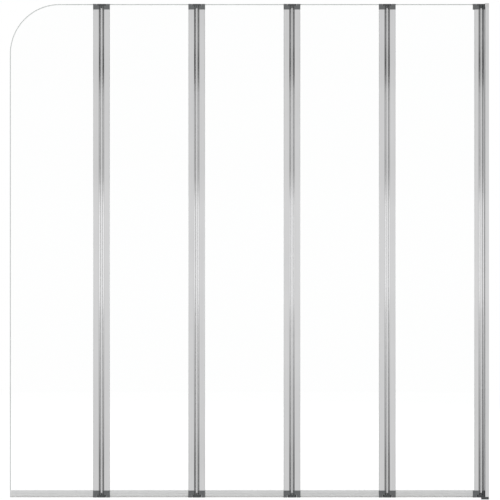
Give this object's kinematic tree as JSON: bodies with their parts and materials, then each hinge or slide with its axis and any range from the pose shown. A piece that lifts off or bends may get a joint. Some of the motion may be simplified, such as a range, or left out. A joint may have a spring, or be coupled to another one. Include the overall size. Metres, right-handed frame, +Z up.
{
  "type": "folding bath screen",
  "caption": "Folding bath screen of narrow clear glass panels joined by two-pivot hinges and carried by a bright wall channel, with a rounded free upper corner.",
  "frame": {"origin": "middle of the wall channel's back face at the channel's lower end, on the wall", "axes": "+X into the wall, so the panels run towards -X; -Y towards the side that the picture shows; +Z up, along the pivots"},
  "size_m": [1.1562, 0.0167, 1.1976],
  "materials": {
    "bright_aluminium": "bright polished aluminium, chrome look",
    "clear_glass": "clear toughened glass with ground edges",
    "dark_plastic": "satin moulded, dark grey",
    "light_plastic": "satin moulded, light grey",
    "soft_seal": "soft translucent grey",
    "grey_strip": "soft, mid grey",
    "steel": "stainless"
  },
  "bodies": {
    "wall_side": {"wall_profile": "bright_aluminium", "adjusting_profile": "bright_aluminium", "channel_strips": "grey_strip", "adjusting_screws": "steel", "wall_top_cap": "light_plastic", "wall_bottom_cap": "dark_plastic", "wall_hinge_head": "dark_plastic", "wall_hinge_bar": "bright_aluminium", "wall_hinge_pins": "steel", "wall_hinge_screws": "steel"},
    "panel_1": {"panel_1_glass": "clear_glass", "panel_1_inner_profile": "bright_aluminium", "panel_1_outer_profile": "bright_aluminium", "panel_1_gaskets": "soft_seal", "panel_1_top_caps": "dark_plastic", "panel_1_bottom_caps": "dark_plastic", "panel_1_bottom_seal": "soft_seal"},
    "panel_2": {"panel_2_glass": "clear_glass", "panel_2_inner_profile": "bright_aluminium", "panel_2_outer_profile": "bright_aluminium", "panel_2_gaskets": "soft_seal", "panel_2_top_caps": "dark_plastic", "panel_2_bottom_caps": "dark_plastic", "panel_2_bottom_seal": "soft_seal"},
    "panel_3": {"panel_3_glass": "clear_glass", "panel_3_inner_profile": "bright_aluminium", "panel_3_outer_profile": "bright_aluminium", "panel_3_gaskets": "soft_seal", "panel_3_top_caps": "dark_plastic", "panel_3_bottom_caps": "dark_plastic", "panel_3_bottom_seal": "soft_seal"},
    "panel_4": {"panel_4_glass": "clear_glass", "panel_4_inner_profile": "bright_aluminium", "panel_4_outer_profile": "bright_aluminium", "panel_4_gaskets": "soft_seal", "panel_4_top_caps": "dark_plastic", "panel_4_bottom_caps": "dark_plastic", "panel_4_bottom_seal": "soft_seal"},
    "panel_5": {"panel_5_glass": "clear_glass", "panel_5_inner_profile": "bright_aluminium", "panel_5_gaskets": "soft_seal", "panel_5_top_caps": "dark_plastic", "panel_5_bottom_caps": "dark_plastic", "panel_5_bottom_seal": "soft_seal"},
    "link_1": {"link_1_bar": "bright_aluminium", "link_1_bridges": "dark_plastic", "link_1_pins": "steel", "link_1_screws": "steel"},
    "link_2": {"link_2_bar": "bright_aluminium", "link_2_bridges": "dark_plastic", "link_2_pins": "steel", "link_2_screws": "steel"},
    "link_3": {"link_3_bar": "bright_aluminium", "link_3_bridges": "dark_plastic", "link_3_pins": "steel", "link_3_screws": "steel"},
    "link_4": {"link_4_bar": "bright_aluminium", "link_4_bridges": "dark_plastic", "link_4_pins": "steel", "link_4_screws": "steel"}
  },
  "joints": [
    {"name": "wall_pivot", "type": "hinge", "parent": "wall_side", "child": "panel_1", "pos_m": [-0.0249, 0, 0.595], "axis": [0, 0, 1], "range_deg": [-90, 90]},
    {"name": "hinge_1_near_pivot", "type": "hinge", "parent": "panel_1", "child": "link_1", "pos_m": [-0.2386, 0, 0.595], "axis": [0, 0, -1], "range_deg": [-90, 90]},
    {"name": "hinge_1_far_pivot", "type": "hinge", "parent": "link_1", "child": "panel_2", "pos_m": [-0.2519, 0, 0.595], "axis": [0, 0, -1], "range_deg": [-90, 90]},
    {"name": "hinge_2_near_pivot", "type": "hinge", "parent": "panel_2", "child": "link_2", "pos_m": [-0.4686, 0, 0.595], "axis": [0, 0, 1], "range_deg": [-90, 90]},
    {"name": "hinge_2_far_pivot", "type": "hinge", "parent": "link_2", "child": "panel_3", "pos_m": [-0.4819, 0, 0.595], "axis": [0, 0, 1], "range_deg": [-90, 90]},
    {"name": "hinge_3_near_pivot", "type": "hinge", "parent": "panel_3", "child": "link_3", "pos_m": [-0.6986, 0, 0.595], "axis": [0, 0, -1], "range_deg": [-90, 90]},
    {"name": "hinge_3_far_pivot", "type": "hinge", "parent": "link_3", "child": "panel_4", "pos_m": [-0.7119, 0, 0.595], "axis": [0, 0, -1], "range_deg": [-90, 90]},
    {"name": "hinge_4_near_pivot", "type": "hinge", "parent": "panel_4", "child": "link_4", "pos_m": [-0.9286, 0, 0.595], "axis": [0, 0, 1], "range_deg": [-90, 90]},
    {"name": "hinge_4_far_pivot", "type": "hinge", "parent": "link_4", "child": "panel_5", "pos_m": [-0.9419, 0, 0.595], "axis": [0, 0, 1], "range_deg": [-90, 90]}
  ]
}
